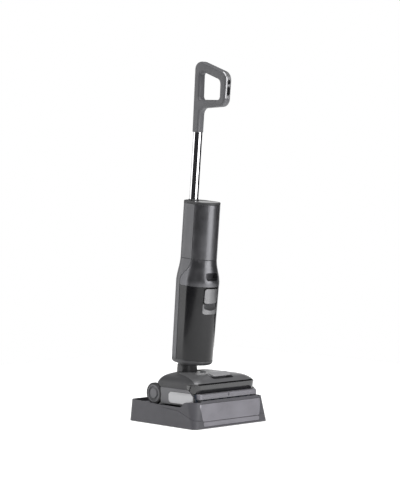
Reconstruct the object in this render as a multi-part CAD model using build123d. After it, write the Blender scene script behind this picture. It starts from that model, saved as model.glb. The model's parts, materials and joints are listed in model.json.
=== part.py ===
"""Wet dry floor scrubber standing in its charging dock.

Frame: origin on the floor under the centre of the dock, +Z up, -Y the front, +X the
machine's own left-to-right axis. Millimetres. The upright body is drawn in its own frame,
with the recline pivot at the origin and its long axis along Z, and is then leaned forward.
"""

import math
import os

from build123d import *

# ---- driving dimensions -------------------------------------------------------------
DOCK_WIDTH, DOCK_LENGTH = 306.0, 302.0
DOCK_TOP = 82.0  # front wall of the dock
DECK_Z = 56.0  # the surface the machine's wheels stand on
SKIRT_Z = 1.4  # lower edge of the dock's skirt
WALL = 2.5

HEAD_HALF = 133.0  # half width of the floor head over its side covers
WHEEL_R, WHEEL_WIDTH, WHEEL_Y = 33.0, 13.0, 56.5
HUB_R = WHEEL_R - 6.5
WHEEL_Z = DECK_Z + WHEEL_R + 0.4
ROLLER_R, ROLLER_Y = 25.0, -96.0
ROLLER_Z = DECK_Z + ROLLER_R + 1.0
ROLLER_X0, ROLLER_X1 = -121.0, 109.0
CASTER_Z = DECK_Z + 10.5

PIVOT_Y, PIVOT_Z = 50.0, 119.0  # recline axis, along X
LEAN = 5.3  # forward lean of the parked body, in degrees

BODY_Z0, RIM_Z, LID_Z, SEAM_Z, BODY_TOP = 60.0, 74.0, 303.0, 384.0, 559.0
SHOULDER_Z = 312.0
TUBE_Y, TUBE_R = 20.7, 14.0
NECK_Y = 5.0
STEM_Z, STEM_FRONT, STEM_BACK = 767.0, 8.0, 36.0
GRIP_HALF = 13.0
FILTER_Y = -58.0
GAP = 0.8  # reveal between neighbouring covers


# ---- small helpers ------------------------------------------------------------------
def span_box(x0, x1, y0, y1, z0, z1):
    return Pos((x0 + x1) / 2, (y0 + y1) / 2, (z0 + z1) / 2) * Box(x1 - x0, y1 - y0, z1 - z0)


def plate(x0, x1, y0, y1, radius, z=0.0):
    return Pos((x0 + x1) / 2, (y0 + y1) / 2, z) * RectangleRounded(x1 - x0, y1 - y0, radius)


def prism(x0, x1, y0, y1, z0, z1, radius):
    return extrude(plate(x0, x1, y0, y1, radius, z0), z1 - z0)


def side_face(outline):
    """A face in the YZ plane from (y, z) corners."""
    return make_face(Polyline(*[(0, y, z) for y, z in outline], close=True))


def side_prism(outline, x0, x1):
    """(y, z) corners swept along X from x0 to x1."""
    return Pos(x0, 0, 0) * extrude(side_face(outline), x1 - x0, dir=(1, 0, 0))


def x_rod(radius, x0, x1, y, z):
    return Pos((x0 + x1) / 2, y, z) * Rot(Y=90) * Cylinder(radius, x1 - x0)


def y_rod(radius, y0, y1, x, z):
    return Pos(x, (y0 + y1) / 2, z) * Rot(X=90) * Cylinder(radius, y1 - y0)


def z_rod(radius, z0, z1, x=0.0, y=0.0):
    return Pos(x, y, (z0 + z1) / 2) * Cylinder(radius, z1 - z0)


def mirror_x(shape):
    return mirror(shape, about=Plane.YZ)


def lean(shape):
    """From the body's own frame to the parked machine."""
    return Pos(0, PIVOT_Y, PIVOT_Z) * Rot(X=LEAN) * shape


def smooth_step(t):
    t = min(1.0, max(0.0, t))
    return t * t * (3 - 2 * t)


def round_edges(shape, edges, radii):
    """The largest of the radii that the kernel can roll over the edges."""
    for radius in radii:
        try:
            rounded = fillet(edges, radius)
        except Exception:
            continue
        if all(s.is_valid for s in rounded.solids()):
            return rounded
    return shape


PARTS = {}


def keep(name, shape):
    PARTS[name] = shape


# ---- dock ---------------------------------------------------------------------------
DOCK_HALF, DOCK_BACK = DOCK_WIDTH / 2, DOCK_LENGTH / 2
DOCK_SIDE_DRAFT, DOCK_FRONT_DRAFT = 5.0, 8.0
DOCK_CORNER, DOCK_CORNER_GROWTH = 16.0, 18.0  # the front corners soften towards the top
PARTING = [(-160, 24), (-146, 26), (-75, 50.5), (-3, 55), (4, 68), (4, 100), (-160, 100)]


def dock_outer(inset=0.0, bottom=SKIRT_Z, top=DOCK_TOP):
    """The drafted outside of the dock, or the same shape drawn in by inset."""

    def section(z):
        t = (z - SKIRT_Z) / (DOCK_TOP - SKIRT_Z)
        x = DOCK_HALF - DOCK_SIDE_DRAFT * t - inset
        front = -DOCK_BACK + DOCK_FRONT_DRAFT * t + inset
        back = DOCK_BACK - DOCK_SIDE_DRAFT * t - inset
        front_radius = DOCK_CORNER + DOCK_CORNER_GROWTH * t - inset
        back_radius = DOCK_CORNER - inset
        corners = [(-x, front, z), (x, front, z), (x, back, z), (-x, back, z)]
        radii = [front_radius, front_radius, back_radius, back_radius]
        return make_face(FilletPolyline(*corners, radius=radii, close=True))

    return loft([section(bottom), section(top)], ruled=True)


def above_walls():
    """Everything over the dock's stepped rim: low side walls and a tall front."""
    rim = [(160, 66.5), (8, 61), (-80, 61), (-91, 66), (-98, 75), (-105, 77.5), (-112, 78)]
    cheek_top, lip_top = [(-160, 78)], [(-115, DOCK_TOP), (-160, DOCK_TOP)]
    sky = [(-160, 130), (160, 130)]
    cheeks = side_prism(rim + cheek_top + sky, -160, 160)
    lip = side_prism(rim + lip_top + sky, -119, 119)
    return cheeks - span_box(-119, 119, -160, -60, 60, 140) + lip


def dock_shell():
    shell = dock_outer() - above_walls()
    deck = DECK_Z - 3
    room = dock_outer(WALL + 1.5, DECK_Z, DOCK_TOP)
    under = dock_outer(WALL, SKIRT_Z, deck)
    trough = x_rod(ROLLER_R + 3.5, -130, 130, ROLLER_Y, ROLLER_Z)
    trough_wall = x_rod(ROLLER_R + 6.0, -132.5, 132.5, ROLLER_Y, ROLLER_Z)
    trough_wall &= span_box(-140, 140, -135, -60, 40, DECK_Z)
    ribs = [span_box(x - 1, x + 1, -126, 132, 30, deck) for x in (-90, 90)]
    shell = shell - room - under + trough_wall
    for rib in ribs:
        shell += rib
    shell -= trough
    # seats: the inlet in the back wall and the contact tower in the deck
    shell -= y_rod(5.2, DOCK_BACK - 12, DOCK_BACK + 4, 60, 22)
    shell -= span_box(-18, 18, 85, 103, deck - 1, DECK_Z + 1)
    return shell


def dock_parts():
    shell = dock_shell()
    over = side_prism(PARTING, -160, 160)
    under = side_prism([(y, z - GAP) for y, z in PARTING], -160, 160)
    inner = dock_outer(WALL + 1.0, 0.1, DOCK_TOP + 1)
    skin_over, skin_under = over - inner, under - inner
    recess = panel_recess(1.8, 0.0)
    cowl = (shell & skin_over) - recess
    base = shell - skin_under - recess
    keep("dock_cowl", Compound(children=[biggest(cowl)]))
    keep("dock_base", Compound(children=[biggest(base)]))
    facings = [front_panel(21.5, 73.0, 1.6, 0.35), front_panel(6.5, 20.3, 1.6, 0.35)]
    keep("dock_front_panels", Compound(children=facings))

    bottom = prism(-DOCK_HALF + 14, DOCK_HALF - 14, -DOCK_BACK + 12, DOCK_BACK - 12, 2.0, 5.5, 16)
    bottom -= prism(-70, 70, -30, 60, 1.0, 3.4, 8)
    vents = [Pos(x, 90, 4) * Box(3, 34, 6) for x in range(-40, 41, 10)]
    keep("dock_bottom_plate", bottom - vents)
    corners = [(sx * 112, y) for sx in (-1, 1) for y in (-110, 112)]
    feet = [z_rod(9.0, 0.0, 1.9, x, y) for x, y in corners]
    keep("dock_rubber_feet", Compound(children=feet))
    screws = []
    for x, y in [(sx * 96, y) for sx in (-1, 1) for y in (-96, 98)]:
        head = z_rod(3.6, 0.6, 1.9, x, y) - Pos(x, y, 0.6) * Box(5, 0.9, 1.4)
        screws.append(head)
    keep("dock_screws", Compound(children=screws))

    tower = prism(-17.6, 17.6, 85.4, 102.6, 50, 80, 3)
    tower = round_edges(tower, tower.edges().filter_by(Axis.Z, reverse=True).group_by(Axis.Z)[-1], (2.0, 1.0))
    for x in (-8, 8):
        tower -= y_rod(2.6, 80, 97, x, 72)
    keep("contact_tower", tower)
    pins = []
    for x in (-8, 8):
        pin = y_rod(2.5, 77.5, 92, x, 72)
        pins.append(round_edges(pin, pin.edges().group_by(Axis.Y)[0], (1.2, 0.6)))
    keep("charge_pins", Compound(children=pins))

    socket = y_rod(5.0, 128, DOCK_BACK - 1.2, 60, 22) - y_rod(3.2, 132, 150, 60, 22)
    socket += y_rod(1.1, 130, DOCK_BACK - 3, 60, 22)
    keep("power_inlet", socket)


def biggest(shape):
    return max(shape.solids(), key=lambda s: s.volume)


def panel_outline(z0, z1, margin, narrow=13.0):
    """Front view of the facing: wide at the top, narrower at the foot."""

    def half(z):
        return 127 - narrow * (73.0 - z) / 66.0 - margin

    low, high = z0 + margin, z1 - margin
    corners = [(-half(low), low), (half(low), low), (half(high), high), (-half(high), high)]
    face = make_face(Polyline(*[(x, 0, z) for x, z in corners], close=True))
    face = fillet(face.vertices(), 5.0)
    return Pos(0, -160, 0) * extrude(face, 60, dir=(0, 1, 0))


def panel_recess(depth, margin):
    skin = dock_outer() - dock_outer(depth, SKIRT_Z - 1, DOCK_TOP + 1)
    return (skin & panel_outline(20.9, 73.4, margin)) + (skin & panel_outline(6.1, 20.9, margin))


def front_panel(z0, z1, depth, margin):
    skin = dock_outer(-0.2) - dock_outer(depth)
    piece = biggest(skin & panel_outline(z0, z1, margin))
    return piece


# ---- floor head ---------------------------------------------------------------------
HEAD_DOME = [  # z, half width, front, back, corner radius
    (127.0, 126.0, -127.0, 57.0, 24.0),
    (138.0, 115.0, -117.0, 54.0, 24.0),
    (146.0, 97.0, -102.0, 49.0, 24.0),
    (151.0, 66.0, -80.0, 41.0, 22.0),
]
COVER_PLAN = [(-73, 8), (73, 8), (119, -112), (124, -140), (-124, -140), (-119, -112)]
NECK_SLOT = 34.0
LATCH_HALF, LATCH_ROOM = 37.0, 43.0
LATCH_Y, LATCH_Z = -80.2, 143.0  # hinge of the cover's latch, along X


def dome(inset=0.0):
    sections = [
        plate(-x + inset, x - inset, front + inset, back - inset, r - inset, z - inset)
        for z, x, front, back, r in HEAD_DOME
    ]
    return loft(sections)


def skirt(inset=0.0, z0=113.0, z1=127.0):
    """The upright band under the dome."""

    def section(z):
        t = (127.0 - z) / 14.0
        x = 126.0 + 4.0 * t - inset
        return plate(-x, x, -127 - 0.5 * t + inset, 57 + 3 * t - inset, 24.0 - inset, z)

    return loft([section(z0), section(z1)], ruled=True)


def cover_prism(margin, z0=100.0, z1=170.0):
    face = make_face(Polyline(*[(x, y, z0) for x, y in COVER_PLAN], close=True))
    face = offset(face, margin, kind=Kind.INTERSECTION)
    return extrude(face, z1 - z0, dir=(0, 0, 1))


def neck_slot():
    well = span_box(-NECK_SLOT, NECK_SLOT, 14, 100, 84, 170)
    return well + x_rod(38, -NECK_SLOT, NECK_SLOT, PIVOT_Y, PIVOT_Z)


def head_top_shell():
    hollow = dome(3.0) + skirt(3.0, 110.0, 125.0)
    shell = dome() + skirt() - hollow
    shell -= cover_prism(GAP / 2)
    shell -= span_box(-140, 140, -150, -88, 100, 127)
    shell -= neck_slot()
    shell -= x_rod(WHEEL_R + 2.5, -140, -117, WHEEL_Y, WHEEL_Z)
    shell -= x_rod(WHEEL_R + 2.5, 117, 140, WHEEL_Y, WHEEL_Z)
    # cheeks that carry the pivot pins
    for side in (-1, 1):
        x0, x1 = sorted((side * (NECK_SLOT + 0.6), side * (NECK_SLOT + 8)))
        cheek = x_rod(20, x0, x1, PIVOT_Y, PIVOT_Z) + span_box(x0, x1, 24, 62, 113.2, PIVOT_Z)
        cheek += span_box(x0, x1, 24, 60, PIVOT_Z, 142)
        cheek &= dome(1.0) + skirt(1.0)
        shell += cheek + x_rod(10.5, x0, x1, PIVOT_Y, PIVOT_Z)
        shell -= x_rod(7.05, x0 - 1, x1 + 1, PIVOT_Y, PIVOT_Z)
    return biggest(shell)


def roller_cover():
    cover = (dome() - dome(3.0)) & cover_prism(-GAP / 2)
    cover -= neck_slot()
    cover = biggest(cover)
    # tray for the lifting latch, and the hole for the dome button
    room = prism(-LATCH_ROOM, LATCH_ROOM, -114, -76, 131, 170, 5)
    cover -= room
    cover -= z_rod(10.6, 120, 170, 0, -22)
    side = LATCH_ROOM + 2.5
    tray = prism(-side, side, -116.5, -73.5, 128.5, 170, 7) - room
    cover += tray & dome(1.0)
    return cover - x_rod(1.35, -LATCH_ROOM - 1.6, LATCH_ROOM + 1.6, LATCH_Y, LATCH_Z)


def cover_latch():
    """A wedge that lifts at its front edge, on a barrel hinge hidden in the tray."""
    outline = [(-109.5, 147.2), (-109.0, 149.4), (-84.6, 157.8), (-81.2, 157.8), (-80.3, 156.8)]
    outline += [(-80.3, LATCH_Z), (-82.4, LATCH_Z), (-82.8, 153.2)]
    latch = side_prism(outline, -LATCH_HALF, LATCH_HALF)
    latch &= prism(-LATCH_HALF, LATCH_HALF, -110, -78, 140, 160, 8) + span_box(-30, 30, -90, -78, 140, 160)
    latch += x_rod(2.4, 2 - LATCH_ROOM, LATCH_ROOM - 2, LATCH_Y, LATCH_Z)
    return latch + x_rod(1.2, -LATCH_ROOM - 1.4, LATCH_ROOM + 1.4, LATCH_Y, LATCH_Z)


def cover_window():
    outline = [(-88.6, 126.3), (-88.6, 113.2), (-97, 113.2), (-127, 90), (-140, 90), (-140, 126.3)]

    def section(z, inset):
        t = (127.0 - z) / 39.0
        x = 127.5 + 3.5 * t - inset
        return plate(-x, x, -128 + 12 * t + inset, -20, 24 - inset, z)

    outer = loft([section(88, 0), section(126.3, 0)], ruled=True)
    inner = loft([section(87, 3.2), section(127.5, 3.2)], ruled=True)
    band = (outer - inner) & side_prism(outline, -150, 150)
    band -= span_box(-122, 122, -150, -100, 80, 101.4)
    return biggest(band)


def bumper():
    bar = prism(-121, 121, -136.5, -100, 85, 101, 11)
    bar -= prism(-115, 115, -130.5, -98, 84, 98, 6)
    bar = biggest(bar - span_box(-130, 130, -122.5, -90, 80, 110))
    front_edges = [e for e in bar.edges().group_by(Axis.Z)[-1] if e.center().Y < -124]
    bar = round_edges(bar, front_edges, (2.5, 1.5, 0.8))
    bar -= span_box(-2.2, 2.2, -138, -133.5, 90, 106)
    return bar


def side_cover():
    """Left cover of the head, with the long rounded recess for its insert."""
    outline = [(-112, 64), (24, 64), (24, 112.4), (-96.4, 112.4), (-121, 92.6), (-121, 78)]
    cover = side_prism(outline, -HEAD_HALF, -129.2)
    cover -= pill(0.3, -HEAD_HALF - 1, -131.0)
    cover -= x_rod(WHEEL_R + 1.6, -HEAD_HALF - 1, -120, WHEEL_Y, WHEEL_Z)
    edges = [e for e in cover.edges().group_by(Axis.X)[0]]
    return round_edges(cover, edges, (0.8, 0.4))


def pill(margin, x0, x1):
    low, high, back, front = 68.0, 102.0, -13.0, -122.0
    shape = Pos(0, (back + front) / 2, (low + high) / 2)
    face = shape * Rot(Y=90) * RectangleRounded(high - low + 2 * margin, back - front + 2 * margin, 12)
    return Pos(x0, 0, 0) * extrude(face, x1 - x0, dir=(1, 0, 0))


def side_insert():
    outline = [(-114, 60), (24, 60), (24, 112), (-98, 112), (-119.6, 93.4), (-119.6, 76)]
    piece = pill(0.0, -HEAD_HALF - 0.9, -131.05) & side_prism(outline, -140, -120)
    piece = round_edges(piece, piece.edges().group_by(Axis.X)[0], (1.0, 0.6, 0.3))
    return biggest(piece - span_box(-HEAD_HALF - 2, -HEAD_HALF - 0.1, -200, -17, 97.6, 98.8))


def chassis():
    frame = prism(-129, 129, -124, 26, 64, 112.4, 16) + prism(-110, 110, 0, 76, 64, 112.4, 10)
    frame -= span_box(-123, 111.5, -160, -64, 40, 140)
    frame -= span_box(-106, 106, -60, 72, 68, 140)
    frame -= span_box(113.5, 126.5, -116, -4, 65.8, 140)
    frame -= span_box(-140, 140, -160, -118, 84, 140)
    frame -= side_prism([(-92, 116), (-128, 89), (-140, 80), (-140, 116)], -140, 140)
    frame -= neck_slot()
    frame -= span_box(-NECK_SLOT, NECK_SLOT, 60, 90, 84, 140)
    for side in (-1, 1):
        x0, x1 = sorted((side * (NECK_SLOT + 0.6), side * (NECK_SLOT + 8)))
        frame += span_box(x0, x1, 20, 72, 66, 96)
        wheel_well = x_rod(WHEEL_R + 2.5, *sorted((side * 112, side * 140)), WHEEL_Y, WHEEL_Z)
        frame -= wheel_well
        frame += x_rod(8, *sorted((side * 105, side * 112)), WHEEL_Y, WHEEL_Z)
        frame -= x_rod(3.55, *sorted((side * 100, side * 125)), WHEEL_Y, WHEEL_Z)
    # bearing seats of the roller, and slots for the front rollers and contacts
    frame -= x_rod(6.2, -127.5, -120, ROLLER_Y, ROLLER_Z)
    frame -= x_rod(11.2, 105, 114, ROLLER_Y, ROLLER_Z)
    frame -= x_rod(2.8, 100, 116, MOTOR_Y, MOTOR_Z)
    for x in (-60, 60):
        frame -= span_box(x - 10, x + 10, -63, -40, 60, 74)
        frame -= x_rod(1.55, x - 13, x + 13, -51, CASTER_Z)
    frame -= span_box(-14, 14, 70, 80, 66, 78)
    return biggest(frame)


def nap_sleeve():
    sleeve = x_rod(ROLLER_R, ROLLER_X0 + 2, ROLLER_X1 - 2, ROLLER_Y, ROLLER_Z)
    sleeve = round_edges(sleeve, sleeve.edges(), (4.0, 2.0))
    return sleeve - x_rod(19.0, ROLLER_X0 - 2, ROLLER_X1 + 2, ROLLER_Y, ROLLER_Z)


MOTOR_Y, MOTOR_Z = -24.0, 92.0
MOTOR_PULLEY_R, ROLLER_PULLEY_R = 8.0, 14.0
BELT_X0, BELT_X1 = 116.5, 123.5


def belt_loop(r_motor, r_roller, x0, x1):
    """A loop round both pulleys: two discs and the tangent strip between them."""
    dy, dz = ROLLER_Y - MOTOR_Y, ROLLER_Z - MOTOR_Z
    reach = math.hypot(dy, dz)
    along = math.atan2(dz, dy)
    spread = math.acos((r_motor - r_roller) / reach)
    corners = []
    for radius, y, z, turn in (
        (r_motor, MOTOR_Y, MOTOR_Z, spread),
        (r_roller, ROLLER_Y, ROLLER_Z, spread),
        (r_roller, ROLLER_Y, ROLLER_Z, -spread),
        (r_motor, MOTOR_Y, MOTOR_Z, -spread),
    ):
        corners.append((y + radius * math.cos(along + turn), z + radius * math.sin(along + turn)))
    loop = side_prism(corners, x0, x1)
    loop += x_rod(r_motor, x0, x1, MOTOR_Y, MOTOR_Z)
    return loop + x_rod(r_roller, x0, x1, ROLLER_Y, ROLLER_Z)


def pulley(radius, x0, x1, y, z):
    wheel = x_rod(radius, x0, x1, y, z)
    wheel += x_rod(radius + 1.6, x0 - 1.2, x0, y, z) + x_rod(radius + 1.6, x1, x1 + 1.2, y, z)
    return wheel


def roller_parts():
    keep("roller_nap", nap_sleeve())
    core = x_rod(18.95, ROLLER_X0, ROLLER_X1, ROLLER_Y, ROLLER_Z)
    core -= x_rod(16.5, ROLLER_X0 - 1, ROLLER_X1 + 1, ROLLER_Y, ROLLER_Z)
    core += x_rod(16.5, ROLLER_X1 - 8, ROLLER_X1 - 4, ROLLER_Y, ROLLER_Z)
    core -= x_rod(7.6, ROLLER_X1 - 9, ROLLER_X1 - 3, ROLLER_Y, ROLLER_Z)
    core += x_rod(17, ROLLER_X0, ROLLER_X0 + 4, ROLLER_Y, ROLLER_Z)
    core += x_rod(6.0, -126.8, ROLLER_X0 + 1, ROLLER_Y, ROLLER_Z)
    keep("roller_core", core)
    drive = x_rod(7.5, ROLLER_X1 - 9, BELT_X0, ROLLER_Y, ROLLER_Z)
    keep("roller_pulley", drive + pulley(ROLLER_PULLEY_R, BELT_X0, BELT_X1, ROLLER_Y, ROLLER_Z))
    keep("motor_pulley", pulley(MOTOR_PULLEY_R, BELT_X0, BELT_X1, MOTOR_Y, MOTOR_Z)
         + x_rod(2.5, 78, BELT_X0, MOTOR_Y, MOTOR_Z))
    band = belt_loop(MOTOR_PULLEY_R + 1.5, ROLLER_PULLEY_R + 1.5, BELT_X0 + 0.4, BELT_X1 - 0.4)
    band -= belt_loop(MOTOR_PULLEY_R + 0.05, ROLLER_PULLEY_R + 0.05, BELT_X0, BELT_X1)
    keep("drive_belt", band)
    motor = x_rod(16.5, 28, 92, MOTOR_Y, MOTOR_Z) + x_rod(9, 92, 97, MOTOR_Y, MOTOR_Z)
    motor -= x_rod(2.6, 76, 100, MOTOR_Y, MOTOR_Z)
    keep("roller_motor", motor)


def wheel_parts(side, label):
    outer, inner = side * HEAD_HALF, side * (HEAD_HALF - WHEEL_WIDTH)
    span = sorted((outer, inner))
    tyre = x_rod(WHEEL_R, *span, WHEEL_Y, WHEEL_Z)
    tyre = round_edges(tyre, tyre.edges(), (2.5, 1.5))
    tyre -= x_rod(HUB_R, *sorted((outer + side, inner - side)), WHEEL_Y, WHEEL_Z)
    keep(f"wheel_tyre_{label}", tyre)
    hub = x_rod(HUB_R - 0.05, *span, WHEEL_Y, WHEEL_Z)
    hub -= x_rod(HUB_R - 3.5, *sorted((outer + side, outer - side * 3.5)), WHEEL_Y, WHEEL_Z)
    hub += x_rod(15.6, *sorted((outer - side * 3.6, outer - side * 1.6)), WHEEL_Y, WHEEL_Z)
    hub -= x_rod(3.6, *sorted((outer - side * 3.2, inner - side)), WHEEL_Y, WHEEL_Z)
    hub -= x_rod(6.8, *sorted((outer - side * 3.2, outer - side * 6.2)), WHEEL_Y, WHEEL_Z)
    cap = x_rod(14.8, *sorted((outer - side * 3.2, outer + side * 0.6)), WHEEL_Y, WHEEL_Z)
    outer_edges = cap.edges().group_by(Axis.X)[-1 if side > 0 else 0]
    keep(f"wheel_hub_{label}", hub + round_edges(cap, outer_edges, (1.4, 0.8)))
    axle = x_rod(3.5, *sorted((side * 101, outer - side * 5.0)), WHEEL_Y, WHEEL_Z)
    axle += x_rod(6.0, *sorted((side * 101, side * 104)), WHEEL_Y, WHEEL_Z)
    return axle


def head_parts():
    keep("head_top_shell", head_top_shell())
    keep("roller_cover", biggest(roller_cover()))
    keep("cover_window", cover_window())
    keep("head_bumper", bumper())
    cover_left, insert_left = side_cover(), side_insert()
    keep("side_covers", Compound(children=[cover_left, mirror_x(cover_left)]))
    keep("side_inserts", Compound(children=[insert_left, mirror_x(insert_left)]))
    keep("head_chassis", chassis())
    roller_parts()
    axles = [wheel_parts(-1, "left"), wheel_parts(1, "right")]

    keep("cover_latch", biggest(cover_latch()))
    button = z_rod(10.2, 146, 154.0, 0, -22)
    keep("cover_button", round_edges(button, button.edges().group_by(Axis.Z)[-1], (3.6, 2.0, 1.0)))

    scraper = span_box(-120, 108, -70.4, -65.2, 98, 111)
    scraper += side_prism([(-70.4, 98), (-65.2, 98), (-70.6, 92.6), (-71.6, 93.6)], -120, 108)
    keep("roller_scraper", scraper)
    spray = x_rod(3.6, -112, 102, -74, 117)
    for x in range(-100, 101, 20):
        spray += z_rod(1.6, 111.5, 116, x, -74)
    keep("water_spray_bar", spray)
    duct = prism(-26, 26, -58, 10, 72, 108, 6) - prism(-23.5, 23.5, -60, 7.5, 74.5, 105.5, 5)
    duct -= span_box(-23, 23, -62, -50, 75, 105)
    duct -= y_rod(15, 0, 20, 0, 92)
    keep("suction_duct", duct)
    pump = span_box(-92, -52, -44, -12, 70, 96) + x_rod(12, -52, -34, -28, 84)
    keep("water_pump", pump)
    contacts = [span_box(x - 5, x + 5, 74, 77.2, 67, 77.4) for x in (-8, 8)]
    keep("head_contacts", Compound(children=contacts))
    casters = [x_rod(6.5, x - 7, x + 7, -51, CASTER_Z) for x in (-60, 60)]
    casters = [round_edges(c, c.edges(), (1.2, 0.6)) for c in casters]
    keep("front_rollers", Compound(children=[c - x_rod(1.6, -80, 80, -51, CASTER_Z) for c in casters]))
    pins = axles + [x_rod(1.5, x - 12.5, x + 12.5, -51, CASTER_Z) for x in (-60, 60)]
    for side in (-1, 1):
        pins.append(x_rod(7.0, *sorted((side * 20, side * (NECK_SLOT + 8.5))), PIVOT_Y, PIVOT_Z))
    keep("axle_pins", Compound(children=pins))


# ---- neck ---------------------------------------------------------------------------
def neck_parts():
    """Drawn in the body's own frame."""
    yoke = Rot(Y=90) * Cylinder(26, 62)
    column = loft([plate(-30.5, 30.5, -24, 25, 14, 2), plate(-29, 29, NECK_Y - 28, NECK_Y + 26, 22, 49)])
    yoke = yoke + column
    yoke -= Pos(0, NECK_Y, 30) * Cylinder(17.4, 60)
    yoke -= Rot(Y=90) * Cylinder(7.1, 80)
    keep("neck_yoke", lean(biggest(yoke)))
    hose = z_rod(16.0, 8, 57, 0, NECK_Y) - z_rod(14.2, 7, 58, 0, NECK_Y)
    for z in range(11, 56, 5):
        hose += z_rod(16.8, z, z + 2, 0, NECK_Y) - z_rod(15.5, z - 1, z + 3, 0, NECK_Y)
    keep("suction_hose", lean(hose))


# ---- upright body, in its own frame --------------------------------------------------
def body_size(z):
    """Half width, front, back and rear corner radius of the body at height z."""
    low = min(1.0, max(0.0, (z - BODY_Z0) / (SHOULDER_Z - BODY_Z0)))
    high = smooth_step((z - SHOULDER_Z) / (SEAM_Z - SHOULDER_Z))
    half = 54.8 + 3.2 * low - 12.0 * high
    front = -83.5 - 6.5 * low + 12.0 * high
    back = 43.0 + 0.5 * low - 3.5 * high
    corner = 43.0 + 3.0 * low - 5.0 * high
    return half, front, back, corner


def body_section(z, inset=0.0):
    half, front, back, corner = body_size(z)
    half, front, back, corner = half - inset, front + inset, back - inset, corner - inset
    middle = front + half
    lean_in = corner * (1 - math.sqrt(0.5))
    edges = [
        ThreePointArc((-half, middle), (0, front), (half, middle)),
        Line((half, middle), (half, back - corner)),
        ThreePointArc((half, back - corner), (half - lean_in, back - lean_in), (half - corner, back)),
        Line((half - corner, back), (corner - half, back)),
        ThreePointArc((corner - half, back), (lean_in - half, back - lean_in), (-half, back - corner)),
        Line((-half, back - corner), (-half, middle)),
    ]
    return Pos(0, 0, z) * make_face(edges)


def body_block(z0, z1, inset=0.0):
    """The body's solid shape between two heights."""
    levels = [z0, z1]
    if z0 < SEAM_Z and z1 > SHOULDER_Z:
        start = max(z0, SHOULDER_Z)
        stop = min(z1, SEAM_Z)
        steps = 6
        levels = [start + (stop - start) * i / steps for i in range(steps + 1)]
        block = loft([body_section(z, inset) for z in levels])
        if z0 < SHOULDER_Z:
            block += loft([body_section(z0, inset), body_section(SHOULDER_Z, inset)], ruled=True)
        if z1 > SEAM_Z:
            block += extrude(body_section(SEAM_Z, inset), z1 - SEAM_Z)
        return block
    return loft([body_section(z, inset) for z in levels], ruled=True)


SEAM_HIGH, SEAM_LOW = -34.5, -2.0
SEAM_CURVE = [(SEAM_HIGH, 388), (-27.5, 359), (-10.5, 338), (SEAM_LOW, 318)]


def seam_prism(shift, front=True, z0=0.0, z1=700.0):
    """Everything in front of (or behind) the flank seam, moved by shift along Y."""
    curve = Spline(
        *[(0, y + shift, z) for y, z in SEAM_CURVE], tangents=[(0, 0, -1), (0, 0, -1)]
    )
    far = -150 if front else 150
    edges = [
        Line((0, far, z1), (0, SEAM_HIGH + shift, z1)),
        Line((0, SEAM_HIGH + shift, z1), (0, SEAM_HIGH + shift, SEAM_CURVE[0][1])),
        curve,
        Line((0, SEAM_LOW + shift, SEAM_CURVE[-1][1]), (0, SEAM_LOW + shift, z0)),
        Line((0, SEAM_LOW + shift, z0), (0, far, z0)),
        Line((0, far, z0), (0, far, z1)),
    ]
    return Pos(-100, 0, 0) * extrude(make_face(edges), 200, dir=(1, 0, 0))


POCKET_HALF, POCKET_Z0, POCKET_Z1 = 29.0, 219.0, 301.0


def front_window(half, z0, z1, radius, y0=-120.0, y1=-60.0):
    """A rounded rectangle in front view, swept along Y."""
    face = Pos(0, y0, (z0 + z1) / 2) * Rot(X=-90) * RectangleRounded(2 * half, z1 - z0, radius)
    return extrude(face, y1 - y0, dir=(0, 1, 0))


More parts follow.
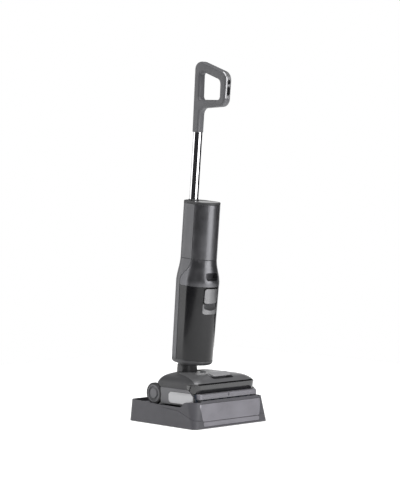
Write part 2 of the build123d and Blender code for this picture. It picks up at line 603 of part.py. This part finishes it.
def body_parts():
    base = body_block(BODY_Z0, RIM_Z)
    base = round_edges(base, base.edges().group_by(Axis.Z)[0], (9.0, 6.0, 3.0))
    base = round_edges(base, base.edges().group_by(Axis.Z)[-1], (1.2, 0.6))
    base -= body_block(BODY_Z0 + 4, RIM_Z - 3, 5.0)
    base -= z_rod(19.0, BODY_Z0 - 1, RIM_Z + 1, 0, NECK_Y)
    collar = z_rod(28.5, 49.6, BODY_Z0 + 0.5, 0, NECK_Y) - z_rod(19.0, 40, 70, 0, NECK_Y)
    keep("body_base", lean(base + collar))

    spine = seam_prism(4.6) - seam_prism(-4.6, z0=-1, z1=701)
    spine &= body_block(RIM_Z + 0.2, SEAM_Z - 0.5, 3.4)
    deck = body_block(SEAM_Z - 0.5, SEAM_Z + 4, 3.0)
    deck -= z_rod(16, 370, 400, 0, -46)
    keep("body_spine", lean(biggest(spine + deck)))

    upper = body_block(SEAM_Z + GAP, BODY_TOP - 8)
    hollow = body_block(SEAM_Z, BODY_TOP, WALL)
    shell = upper - hollow
    front_shell = shell & seam_prism(-1.1)
    front_shell = biggest(front_shell)
    keep("upper_front_shell", lean(front_shell))
    rear_shell = biggest(shell & seam_prism(1.1, front=False))
    keep("upper_rear_shell", lean(rear_shell))

    cap = body_block(BODY_TOP - 7.2, BODY_TOP)
    cap = round_edges(cap, cap.edges().group_by(Axis.Z)[-1], (2.2, 1.2))
    cap -= body_block(BODY_TOP - 1.4, BODY_TOP + 1, 4.5)
    screen = body_block(BODY_TOP - 1.35, BODY_TOP - 0.5, 5.0) & span_box(-60, 60, -90, -2, 500, 600)
    keep("display_window", lean(screen))
    collar = z_rod(TUBE_R + 2.6, SEAM_Z + 8, BODY_TOP + 2.4, 0, TUBE_Y)
    collar = round_edges(collar, collar.edges().group_by(Axis.Z)[-1], (1.2, 0.6))
    cap = cap + collar - z_rod(TUBE_R + 0.08, SEAM_Z + 11, 600, 0, TUBE_Y)
    keep("top_cap", lean(cap))

    motor = z_rod(31, 412, 452, 0, -34) - z_rod(4.1, 400, 440, 0, -34)
    keep("suction_motor", lean(motor))
    fan = z_rod(30, 394, 396, 0, -34) + z_rod(8, 394, 407, 0, -34) + z_rod(4.0, 400, 436, 0, -34)
    for turn in range(0, 360, 36):
        fan += Pos(0, -34, 400.5) * Rot(Z=turn) * Pos(18, 0, 0) * Rot(Z=28) * Box(21, 1.6, 10)
    keep("suction_fan", lean(fan))
    battery = prism(-31, 31, -56, -1, 460, 538, 4)
    keep("battery_pack", lean(battery))
    board = span_box(-28, 28, 0.6, 2.2, 460, 538)
    keep("main_board", lean(board))


def tank_parts():
    front = seam_prism(-1.1)
    behind = seam_prism(-5.0, front=False, z0=-1, z1=701) & body_block(60, SEAM_Z + 5, 2.9)
    bucket_outer = body_block(RIM_Z + 0.5, LID_Z - 0.4) & front
    bucket = bucket_outer - behind
    cavity = body_block(RIM_Z + 3.5, LID_Z - 9, 2.6) & seam_prism(-7.6)
    neck = body_block(LID_Z - 10, LID_Z + 1, 6.0) & seam_prism(-10.0)
    pocket = front_window(POCKET_HALF + 2.6, POCKET_Z0 - 2.6, LID_Z + 5, 10, -100, -66)
    cavity = cavity - pocket
    neck = neck - pocket
    bucket = bucket - cavity - neck
    bucket -= front_window(POCKET_HALF, POCKET_Z0, POCKET_Z1, 9, -120, -69)
    keep("dirty_tank", lean(biggest(bucket)))

    lid = (body_block(LID_Z + 0.2, SEAM_Z - 0.6) & front) - behind
    hollow = (body_block(LID_Z + 3, SEAM_Z - 4, 3.0) & seam_prism(-8.0))
    hollow -= front_window(28, 316, 352, 6, -100, -58)
    lid = lid - hollow
    lid -= front_window(24, 322, 346, 8, -120, -61)
    lid -= front_window(22, 320.4, 326, 2, -120, -61) - body_block(316, 330, 1.5)
    lid -= z_rod(14, 370, 400, 0, FILTER_Y)
    lid += z_rod(4.0, 140, 305.4, 30, -36) + z_rod(7, 300, 305.4, 30, -36)
    keep("dirty_tank_lid", lean(biggest(lid)))
    filter_block = z_rod(13.6, 356, 379.6, 0, FILTER_Y)
    keep("air_filter", lean(filter_block - z_rod(6, 350, 370, 0, FILTER_Y)))
    ball = z_rod(15, 150, 180, 30, -36) - z_rod(4.4, 140, 190, 30, -36)
    keep("tank_float", lean(round_edges(ball, ball.edges().filter_by(GeomType.CIRCLE), (3.0, 1.5))))

    skin = body_block(POCKET_Z0 - 4, POCKET_Z1 + 1.5, 0.6) - body_block(POCKET_Z0 - 6, POCKET_Z1 + 1.5, 6.0)
    button_shape = front_window(POCKET_HALF - 3.4, 253, 297.4, 6.5, -120, -60)
    button = biggest(skin & button_shape)
    stem = front_window(16, 262, 288, 4, -83, -74)
    button = button + (stem & body_block(200, 310, 5.5))
    keep("tank_button", lean(biggest(button)))
    bezel = front_window(POCKET_HALF - 0.3, POCKET_Z0 + 0.3, POCKET_Z1 - 0.3, 8.7, -120, -69.4)
    bezel &= body_block(200, 250.5, 0.5)
    scoop_cut = Pos(0, -113, 262) * Rot(Y=90) * Cylinder(40, 2 * (POCKET_HALF - 3))
    bezel -= scoop_cut & span_box(-40, 40, -130, -60, 222, 262)
    keep("tank_latch_bezel", lean(biggest(bezel)))

    rear = seam_prism(1.1, front=False)
    spine_room = seam_prism(5.0, z0=-1, z1=701) & body_block(60, SEAM_Z + 5, 2.9)
    clean = (body_block(RIM_Z + 0.5, SEAM_Z - 0.6) & rear) - spine_room
    clean -= body_block(RIM_Z + 3.5, SEAM_Z - 4, 2.6) & seam_prism(7.6, front=False)
    clean -= y_rod(9, 30, 60, 0, 352)
    keep("clean_tank", lean(biggest(clean)))
    plug = y_rod(8.8, 34, 44.6, 0, 352) + y_rod(12, 43.2, 45.4, 0, 352)
    plug += span_box(-9, 9, 45, 47.2, 350.5, 353.5)
    keep("clean_tank_plug", lean(plug))


# ---- handle, in the body's own frame --------------------------------------------------
def grip_outline():
    """Outer line of the stem and the loop, and the finger hole, in the YZ plane."""
    foot = STEM_Z - 12.0
    outer = [
        (STEM_FRONT, foot), (STEM_FRONT, 840), (-100.5, 852), (-101.5, 951.5), (14, 982.5),
        (41.5, 975), (40.5, 930), (STEM_BACK, foot),
    ]
    hole = [(13, 866), (-75.5, 870), (-73.5, 929), (16.5, 953.5)]
    return outer, hole


def rounded_side_face(points, radii):
    line = FilletPolyline(*[(0, y, z) for y, z in points], radius=radii, close=True)
    return make_face(line)


def handle_parts():
    tube = z_rod(TUBE_R, SEAM_Z + 11.2, STEM_Z - 0.2, 0, TUBE_Y)
    tube -= z_rod(TUBE_R - 1.5, 380, 801, 0, TUBE_Y)
    keep("handle_tube", lean(tube))
    outer, hole = grip_outline()
    outer_face = rounded_side_face(outer, [1, 22, 26, 30, 28, 22, 60, 1])
    hole_face = rounded_side_face(hole, [12, 12, 18, 12])
    thick = 2 * GRIP_HALF
    loop = extrude(outer_face, thick, dir=(1, 0, 0)) - extrude(hole_face, thick, dir=(1, 0, 0))
    loop = Pos(-GRIP_HALF, 0, 0) * loop
    rim = [e for e in loop.edges() if abs(abs(e.center().X) - GRIP_HALF) < 0.01]
    loop = round_edges(loop, rim, (7.0, 6.0, 5.0, 3.0))
    loop &= span_box(-20, 20, -120, 60, STEM_Z, 1000)
    spigot = z_rod(TUBE_R - 1.55, STEM_Z - 34, STEM_Z + 2, 0, TUBE_Y)
    grip = loop + spigot
    fascia_zone = fascia_block(0.25)
    skin = extrude(outer_face, thick, dir=(1, 0, 0))
    inner = extrude(offset(outer_face, -2.2), thick, dir=(1, 0, 0))
    rind = Pos(-GRIP_HALF, 0, 0) * (skin - inner)
    keep("handle_grip", lean(biggest(grip - (rind & fascia_zone))))
    fascia = (rind & fascia_block(0.0)) & grip
    fascia = biggest(fascia)
    for z, reach in ((925, 7.5), (898, 14)):
        fascia -= front_pill(5.85, z, reach, -120, -95)
    keep("control_fascia", lean(biggest(fascia)))
    for name, z, reach in (("power_button", 925, 7.15), ("mode_button", 898, 13.65)):
        button = front_pill(5.5, z, reach, -102.3, -100.1)
        button = round_edges(button, button.edges().group_by(Axis.Y)[0], (0.6, 0.3))
        keep(name, lean(button))


def front_pill(half, z, reach, y0, y1):
    face = Pos(0, y0, z) * Rot(X=-90) * RectangleRounded(2 * half, 2 * reach, half - 0.01)
    return extrude(face, y1 - y0, dir=(0, 1, 0))


def fascia_block(margin):
    half = 10.5 + margin
    block = span_box(-half, half, -130, -60, 876 - margin, 962 + margin)
    return block - side_prism([(-20, 800), (-84, 953), (-60, 1000), (0, 1000)], -40, 40)


# ---- build --------------------------------------------------------------------------
def main():
    dock_parts()
    head_parts()
    neck_parts()
    body_parts()
    tank_parts()
    handle_parts()
    os.makedirs("parts", exist_ok=True)
    for name, shape in PARTS.items():
        export_step(shape, f"parts/{name}.step")
    print(len(PARTS), "nodes")


main()
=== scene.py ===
"""Looks of the wet dry floor scrubber in its dock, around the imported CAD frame."""

import json
import math

import bpy
from mathutils import Matrix, Vector

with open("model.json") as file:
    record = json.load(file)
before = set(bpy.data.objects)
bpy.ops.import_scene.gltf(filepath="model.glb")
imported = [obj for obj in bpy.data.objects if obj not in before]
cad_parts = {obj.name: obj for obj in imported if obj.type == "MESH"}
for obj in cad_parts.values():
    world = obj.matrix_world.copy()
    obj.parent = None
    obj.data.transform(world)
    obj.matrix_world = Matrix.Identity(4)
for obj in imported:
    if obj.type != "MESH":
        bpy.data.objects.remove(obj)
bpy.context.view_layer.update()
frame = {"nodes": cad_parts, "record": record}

NODES = frame["nodes"]
SCENE = bpy.context.scene

# ---- colours, as linear red, green and blue ----------------------------------------------
DARK = (0.030, 0.030, 0.032)
GREY = (0.105, 0.105, 0.112)
DOCK = (0.046, 0.045, 0.052)
SILVER = (0.37, 0.37, 0.38)
FACING = (0.20, 0.195, 0.215)
BLACK = (0.012, 0.012, 0.013)
# Near black for the body spine that shows in the gaps between shells: painted shade in the seam grooves.
SEAM_PAINTED_SHADE = (0.004, 0.004, 0.004)
SMOKE = (0.008, 0.008, 0.009)
GLASS = (0.007, 0.007, 0.008)
FRONT_COAT = (0.13, 0.13, 0.138)
COVER_COAT = (0.17, 0.17, 0.175)
BUTTON_COAT = (0.19, 0.19, 0.195)
NECK = (0.075, 0.075, 0.079)
BASE_RING = (0.045, 0.045, 0.048)
INSIDE = (0.028, 0.028, 0.030)
WHITE = (0.52, 0.52, 0.50)
RUBBER = (0.018, 0.018, 0.018)
PIN_STEEL = (0.55, 0.55, 0.56)
MOTOR_STEEL = (0.50, 0.50, 0.51)
BRASS = (0.78, 0.60, 0.28)
CHROME_LOW, CHROME_HIGH = (0.80, 0.80, 0.82), (0.86, 0.86, 0.87)
# The third pile colour is painted shade, laid in the gaps between the tufts.
PILE_LIGHT, PILE_BLUE, PILE_PAINTED_SHADE = (0.30, 0.31, 0.33), (0.05, 0.08, 0.14), (0.02, 0.02, 0.025)
# The filter's first colour is painted shade in the folds, and its second is painted light on the pleat
# tops.
FILTER_SHADED_FOLD, FILTER_LIT_TOP = (0.28, 0.28, 0.29), (0.62, 0.62, 0.63)
BOARD_DARK, BOARD_LIGHT, COPPER = (0.01, 0.10, 0.04), (0.01, 0.14, 0.06), (0.35, 0.28, 0.10)

# ---- sizes in metres ---------------------------------------------------------------------
MILLIMETRE = 0.001
COVER_BAND_TOP = 0.1305
COVER_BAND_BLUR = 0.0003
EDGE_WEAR_RADIUS = 0.0007
TANK_EDGE_RADIUS = 0.0009

# ---- studio ------------------------------------------------------------------------------
CAMERA_PLACE = Vector((-3.5276, -3.8205, 0.7231))
CAMERA_PITCH = math.radians(2.19)
CAMERA_AZIMUTH = math.radians(-42.72)
CAMERA_YAW = math.radians(-0.062)
SENSOR_WIDTH_MM, LENS_MM = 36.0, 122.35
CAMERA_REACH = 60.0
DARK_WALLS, WHITE_BACKDROP = (0.030, 0.030, 0.032), (1.0, 1.0, 1.0)
FLOOR_HALF, FLOOR_HEIGHT = 1.7, -0.0005
FLOOR_LOW, FLOOR_HIGH, FLOOR_GLOW = (0.93, 0.93, 0.93), (0.95, 0.95, 0.95), 0.18
PANEL_AIM, SUN_AIM = Vector((0, 0, 0.5)), Vector((0, 0, 0))
SUN_DISTANCE = 5.0

# The Mix node has a set of sockets for each data type. These are the ones for colours.
MIX_FIRST, MIX_SECOND, MIX_RESULT = 6, 7, 2


# ---- node helpers ------------------------------------------------------------------------
class Graph:
    """A material and short ways to add and join its nodes."""

    def __init__(self, name):
        self.material = bpy.data.materials.new(name)
        self.material.use_nodes = True
        self.tree = self.material.node_tree
        self.shader = self.tree.nodes["Principled BSDF"]

    def add(self, kind, **settings):
        node = self.tree.nodes.new(kind)
        for key, value in settings.items():
            setattr(node, key, value)
        return node

    def join(self, source, target):
        self.tree.links.new(source, target)

    def colour(self, source):
        self.join(source, self.shader.inputs["Base Color"])

    def roughness(self, source):
        self.join(source, self.shader.inputs["Roughness"])

    def coordinates(self, stretch=(1, 1, 1)):
        """Object coordinates, in metres of the shared frame."""
        source = self.add("ShaderNodeTexCoord")
        mapping = self.add("ShaderNodeMapping")
        mapping.inputs["Scale"].default_value = stretch
        self.join(source.outputs["Object"], mapping.inputs["Vector"])
        return mapping.outputs["Vector"]

    def height(self):
        """Height above the floor, in metres, while the part is at rest."""
        split = self.add("ShaderNodeSeparateXYZ")
        self.join(self.coordinates(), split.inputs["Vector"])
        return split.outputs["Z"]

    def noise(self, scale, detail=3.0, stretch=(1, 1, 1)):
        node = self.add("ShaderNodeTexNoise")
        node.inputs["Scale"].default_value = scale
        node.inputs["Detail"].default_value = detail
        self.join(self.coordinates(stretch), node.inputs["Vector"])
        return node.outputs["Fac"]

    def remap(self, value, low, high, from_low=0.3, from_high=0.7):
        node = self.add("ShaderNodeMapRange")
        node.inputs["From Min"].default_value = from_low
        node.inputs["From Max"].default_value = from_high
        node.inputs["To Min"].default_value = low
        node.inputs["To Max"].default_value = high
        self.join(value, node.inputs["Value"])
        return node.outputs["Result"]

    def blend(self, factor, first, second):
        node = self.add("ShaderNodeMix", data_type="RGBA")
        for index, value in ((MIX_FIRST, first), (MIX_SECOND, second)):
            if isinstance(value, tuple):
                node.inputs[index].default_value = (*value, 1.0)
            else:
                self.join(value, node.inputs[index])
        self.join(factor, node.inputs["Factor"])
        return node.outputs[MIX_RESULT]

    def cloudy(self, scale, detail, first, second):
        """Two colours that drift into each other."""
        return self.blend(self.remap(self.noise(scale, detail), 0.0, 1.0), first, second)

    def maths(self, operation, first, second):
        node = self.add("ShaderNodeMath", operation=operation)
        self.join(first, node.inputs[0])
        self.join(second, node.inputs[1])
        return node.outputs[0]

    def edge_mask(self, radius):
        """1 on sharp edges, 0 on faces; also the softened normal."""
        bevel = self.add("ShaderNodeBevel", samples=4)
        bevel.inputs["Radius"].default_value = radius
        geometry = self.add("ShaderNodeNewGeometry")
        dot = self.add("ShaderNodeVectorMath", operation="DOT_PRODUCT")
        self.join(bevel.outputs["Normal"], dot.inputs[0])
        self.join(geometry.outputs["Normal"], dot.inputs[1])
        return self.remap(dot.outputs["Value"], 1.0, 0.0, 0.8, 0.995), bevel.outputs["Normal"]

    def bump(self, height, distance, strength, normal=None):
        node = self.add("ShaderNodeBump")
        node.inputs["Strength"].default_value = strength
        node.inputs["Distance"].default_value = distance
        self.join(height, node.inputs["Height"])
        if normal is not None:
            self.join(normal, node.inputs["Normal"])
        self.join(node.outputs["Normal"], self.shader.inputs["Normal"])

    def set(self, **values):
        for key, value in values.items():
            self.shader.inputs[key.replace("_", " ")].default_value = value


def shade(colour, factor):
    return tuple(min(1.0, channel * factor) for channel in colour)


# ---- materials ---------------------------------------------------------------------------
def moulded_graph(name, colour, rough=0.5, grain=0.7, depth=0.02, metal=0.0, coat=0.0):
    """Moulded or coated plastic. grain and depth are the texture's size in millimetres."""
    g = Graph(name)
    edges, soft_normal = g.edge_mask(EDGE_WEAR_RADIUS)
    tone = g.cloudy(9.0, 4.0, shade(colour, 0.93), shade(colour, 1.07))
    patches = g.remap(g.noise(240.0, 4.0), 0.0, 0.5, 0.45, 0.62)
    g.colour(g.blend(g.maths("MULTIPLY", edges, patches), tone, shade(colour, 1.9)))
    smudges = g.remap(g.noise(38.0, 5.0), rough - 0.05, rough + 0.06)
    scuffs = g.remap(g.noise(420.0, 2.0, (1.0, 1.0, 0.06)), 0.0, 0.05, 0.60, 0.66)
    g.roughness(g.maths("ADD", smudges, scuffs))
    g.set(Metallic=metal, Coat_Weight=coat, Coat_Roughness=0.12)
    g.bump(g.noise(1.0 / (grain * MILLIMETRE), 2.0), depth * MILLIMETRE, 0.5, soft_normal)
    return g


def moulded(name, colour, **settings):
    return moulded_graph(name, colour, **settings).material


def coated(name, colour, rough, depth, metal, coat=0.1):
    """A thin metallic paint, finer and shinier than bare plastic."""
    return moulded(name, colour, rough=rough, grain=0.4, depth=depth, metal=metal, coat=coat)


def banded_cover():
    """The roller cover: satin coat on the dome, black gloss on its upright lower band."""
    g = moulded_graph("cover_coat", COVER_COAT, 0.36, 0.4, 0.008, 0.6, 0.1)
    band_low, band_high = COVER_BAND_TOP - COVER_BAND_BLUR, COVER_BAND_TOP + COVER_BAND_BLUR
    dome = g.remap(g.height(), 0.0, 1.0, band_low, band_high)
    for name, below in (("Base Color", BLACK), ("Roughness", (0.2, 0.2, 0.2))):
        socket = g.shader.inputs[name]
        g.join(g.blend(dome, below, socket.links[0].from_socket), socket)
    return g.material


def tube_chrome():
    """Polished chrome, with the faint long lines that a drawn tube keeps."""
    g = Graph("polished_chrome")
    lines = g.noise(900.0, 2.0, (1.0, 1.0, 0.02))
    g.roughness(g.remap(lines, 0.045, 0.09))
    g.colour(g.cloudy(30.0, 4.0, CHROME_LOW, CHROME_HIGH))
    g.set(Metallic=1.0)
    g.bump(lines, 0.003 * MILLIMETRE, 0.3)
    return g.material


def smoked_tank():
    """Near-black plastic with a deep gloss, for the smoked tank."""
    g = Graph("smoke_tank")
    edges, soft_normal = g.edge_mask(TANK_EDGE_RADIUS)
    tone = g.cloudy(7.0, 3.0, shade(SMOKE, 0.8), shade(SMOKE, 1.2))
    # Every sharp edge of the tank is painted lighter: a painted highlight on its glossy rims.
    g.colour(g.blend(edges, tone, shade(SMOKE, 3.0)))
    g.roughness(g.remap(g.noise(26.0, 5.0), 0.13, 0.20))
    g.set(Specular_IOR_Level=0.32, Coat_Weight=0.12, Coat_Roughness=0.05)
    g.bump(g.noise(3.0, 2.0), 0.4 * MILLIMETRE, 0.25, soft_normal)
    return g.material


def drawn_metal(name, colour, rough):
    """Bare metal with fine drawn lines along X."""
    g = Graph(name)
    lines = g.noise(1800.0, 2.0, (0.05, 1.0, 1.0))
    g.roughness(g.remap(lines, rough - 0.08, rough + 0.08))
    g.colour(g.cloudy(60.0, 4.0, shade(colour, 0.88), shade(colour, 1.08)))
    g.set(Metallic=1.0)
    g.bump(lines, 0.01 * MILLIMETRE, 0.5)
    return g.material


def rubber(name, colour, rough):
    """Matt rubber, with pale dust in patches."""
    g = Graph(name)
    dust = g.remap(g.noise(70.0, 6.0), 0.0, 0.35, 0.5, 0.72)
    g.colour(g.blend(dust, colour, shade(colour, 3.2)))
    g.roughness(g.remap(g.noise(120.0, 4.0), rough - 0.08, rough + 0.08))
    g.bump(g.noise(1300.0), 0.04 * MILLIMETRE, 0.6)
    return g.material


def pile_fabric():
    """The roller's short pile: small tufts, in two colours by wide stripes."""
    g = Graph("microfibre_pile")
    tuft = g.add("ShaderNodeTexVoronoi")
    tuft.inputs["Scale"].default_value = 620.0
    g.join(g.coordinates((0.6, 1.0, 1.0)), tuft.inputs["Vector"])
    stripe = g.add("ShaderNodeTexWave", bands_direction="X")
    stripe.inputs["Scale"].default_value = 9.0
    stripe.inputs["Distortion"].default_value = 2.0
    g.join(g.coordinates((1.0, 0.3, 0.3)), stripe.inputs["Vector"])
    band = g.remap(stripe.outputs["Fac"], 0.0, 1.0, 0.45, 0.55)
    # Away from each tuft's middle the pile darkens towards painted shade between the tufts.
    shadow = g.remap(tuft.outputs["Distance"], 0.0, 0.7, 0.1, 0.6)
    g.colour(g.blend(shadow, g.blend(band, PILE_LIGHT, PILE_BLUE), PILE_PAINTED_SHADE))
    g.set(Roughness=0.95, Sheen_Weight=0.5)
    g.bump(tuft.outputs["Distance"], 1.2 * MILLIMETRE, 0.8)
    return g.material


def pleated_filter():
    g = Graph("pleated_filter")
    fold = g.add("ShaderNodeTexWave", bands_direction="X")
    fold.inputs["Scale"].default_value = 120.0
    g.join(g.coordinates(), fold.inputs["Vector"])
    # The folds are painted darker as painted shade, and the pleat tops lighter as painted light.
    g.colour(g.blend(fold.outputs["Fac"], FILTER_SHADED_FOLD, FILTER_LIT_TOP))
    g.set(Roughness=0.95)
    g.bump(fold.outputs["Fac"], 1.2 * MILLIMETRE, 0.9)
    return g.material


def circuit_board():
    """Green lacquer in small fields, with copper lines between them."""
    g = Graph("circuit_board")
    fields = g.add("ShaderNodeTexBrick")
    fields.inputs["Scale"].default_value = 90.0
    fields.inputs["Mortar Size"].default_value = 0.04
    for name, tone in (("Color1", BOARD_DARK), ("Color2", BOARD_LIGHT), ("Mortar", COPPER)):
        fields.inputs[name].default_value = (*tone, 1.0)
    g.join(g.coordinates(), fields.inputs["Vector"])
    g.colour(fields.outputs["Color"])
    g.roughness(g.remap(g.noise(90.0), 0.25, 0.4))
    g.bump(fields.outputs["Fac"], 0.2 * MILLIMETRE, 0.5)
    return g.material


# ---- which material goes where -----------------------------------------------------------
def slot_materials():
    """One material for each material slot that the record names."""
    return {
        "dark_shell": moulded("dark_shell", DARK),
        "grey_shell": moulded("grey_shell", GREY, rough=0.46),
        "front_shell": coated("front_shell", FRONT_COAT, rough=0.33, depth=0.008, metal=0.9),
        "dock_plastic": moulded("dock_plastic", DOCK, rough=0.52, grain=0.9, depth=0.03),
        "silver_plastic": coated("silver_plastic", SILVER, rough=0.36, depth=0.006, metal=0.75, coat=0.2),
        "black_gloss": moulded("black_gloss", BLACK, rough=0.14, grain=0.5, depth=0.002, coat=0.6),
        "smoke_tank": smoked_tank(),
        "chrome_tube": tube_chrome(),
        "steel_pin": drawn_metal("ground_steel", PIN_STEEL, rough=0.3),
        "brass_contact": drawn_metal("plated_contact", BRASS, rough=0.22),
        "black_rubber": rubber("black_rubber", RUBBER, rough=0.75),
        "tyre_rubber": rubber("tyre_rubber", BLACK, rough=0.62),
        "nap_fabric": pile_fabric(),
        "inner_plastic": moulded("inner_plastic", INSIDE, rough=0.55, grain=0.8, depth=0.03),
        "white_plastic": moulded("white_plastic", WHITE, rough=0.45),
        "motor_steel": drawn_metal("drawn_steel", MOTOR_STEEL, rough=0.38),
        "circuit_green": circuit_board(),
        "filter_fabric": pleated_filter(),
        "display_glass": moulded("display_glass", GLASS, rough=0.30, grain=0.5, depth=0.001, coat=0.2),
    }


def node_materials():
    """Materials for the few nodes that differ from their slot in the photo."""
    button_coat = coated("button_coat", BUTTON_COAT, rough=0.30, depth=0.004, metal=0.85)
    return {
        "dock_front_panels": coated("facing_coat", FACING, rough=0.36, depth=0.006, metal=0.6),
        "head_bumper": coated("bumper_coat", shade(FACING, 0.8), rough=0.38, depth=0.006, metal=0.5),
        "tank_button": button_coat,
        "tank_latch_bezel": button_coat,
        "neck_yoke": moulded("neck_grey", NECK, rough=0.44),
        "body_base": moulded("base_ring", BASE_RING, rough=0.40),
        "roller_cover": banded_cover(),
        # The spine is near black as painted shade, so the seams between the shells read as dark grooves.
        "body_spine": moulded("seam_painted_shade", SEAM_PAINTED_SHADE, rough=0.7),
    }


def dress_nodes():
    by_slot = slot_materials()
    by_node = node_materials()
    for subpart in frame["record"]["subparts"]:
        node = subpart["node"]
        material = by_node.get(node, by_slot[subpart["material_slot"]])
        for slot in NODES[node].material_slots:
            slot.material = material


# ---- studio pieces -----------------------------------------------------------------------
def add_camera():
    data = bpy.data.cameras.new("camera")
    data.sensor_width = SENSOR_WIDTH_MM
    data.lens = LENS_MM
    data.clip_end = CAMERA_REACH
    camera = bpy.data.objects.new("camera", data)
    turn = Matrix.Rotation(CAMERA_AZIMUTH + CAMERA_YAW, 4, "Z")
    tilt = Matrix.Rotation(math.pi / 2 - CAMERA_PITCH, 4, "X")
    camera.matrix_world = Matrix.Translation(CAMERA_PLACE) @ turn @ tilt
    SCENE.collection.objects.link(camera)
    SCENE.camera = camera


def compass(azimuth, elevation):
    """The way from the object towards that azimuth (0 is the front) and elevation."""
    az, el = math.radians(azimuth), math.radians(elevation)
    return Vector((math.sin(az) * math.cos(el), -math.cos(az) * math.cos(el), math.sin(el)))


def place_lamp(data, way, distance, aim):
    """Hang a lamp that far from its aim, facing it. The camera doesn't see the lamp itself."""
    lamp = bpy.data.objects.new(data.name, data)
    lamp.location = aim + way * distance
    lamp.rotation_euler = (-way).to_track_quat("-Z", "Y").to_euler()
    lamp.visible_camera = False
    SCENE.collection.objects.link(lamp)


def panel_light(name, azimuth, elevation, distance, size, watts):
    data = bpy.data.lights.new(name, "AREA")
    data.shape = "RECTANGLE"
    data.size, data.size_y = size
    data.energy = watts
    place_lamp(data, compass(azimuth, elevation), distance, PANEL_AIM)


def soft_sun(azimuth, elevation, strength, spread):
    """A very wide sun that lights the floor evenly, for a soft contact shadow."""
    data = bpy.data.lights.new("sky_light", "SUN")
    data.energy = strength
    data.angle = math.radians(spread)
    place_lamp(data, compass(azimuth, elevation), SUN_DISTANCE, SUN_AIM)


def add_world():
    """Dark walls for the object to mirror, and white where the camera looks past it."""
    world = bpy.data.worlds.new("studio")
    world.use_nodes = True
    tree = world.node_tree
    seen = tree.nodes.new("ShaderNodeLightPath")
    pick = tree.nodes.new("ShaderNodeMix")
    pick.data_type = "RGBA"
    tree.links.new(seen.outputs["Is Camera Ray"], pick.inputs["Factor"])
    pick.inputs[MIX_FIRST].default_value = (*DARK_WALLS, 1.0)
    pick.inputs[MIX_SECOND].default_value = (*WHITE_BACKDROP, 1.0)
    tree.links.new(pick.outputs[MIX_RESULT], tree.nodes["Background"].inputs["Color"])
    SCENE.world = world


def add_floor():
    mesh = bpy.data.meshes.new("floor")
    corners = [(-1, -1), (1, -1), (1, 1), (-1, 1)]
    places = [(x * FLOOR_HALF, y * FLOOR_HALF, FLOOR_HEIGHT) for x, y in corners]
    mesh.from_pydata(places, [], [(0, 1, 2, 3)])
    floor = bpy.data.objects.new("floor", mesh)
    g = Graph("pale_floor")
    g.colour(g.cloudy(0.8, 3.0, FLOOR_LOW, FLOOR_HIGH))
    g.set(Roughness=0.9, Emission_Color=(*WHITE_BACKDROP, 1.0), Emission_Strength=FLOOR_GLOW)
    mesh.materials.append(g.material)
    SCENE.collection.objects.link(floor)


def add_studio():
    SCENE.view_settings.view_transform = "Standard"
    add_world()
    add_floor()
    add_camera()
    panel_light("key", azimuth=8, elevation=14, distance=3.0, size=(2.3, 3.0), watts=84)
    panel_light("left_back_fill", azimuth=-150, elevation=12, distance=3.0, size=(2.0, 2.6), watts=36)
    panel_light("right_back_fill", azimuth=130, elevation=10, distance=4.0, size=(4.0, 3.0), watts=38)
    soft_sun(azimuth=-60, elevation=70, strength=3.3, spread=55)


dress_nodes()
add_studio()
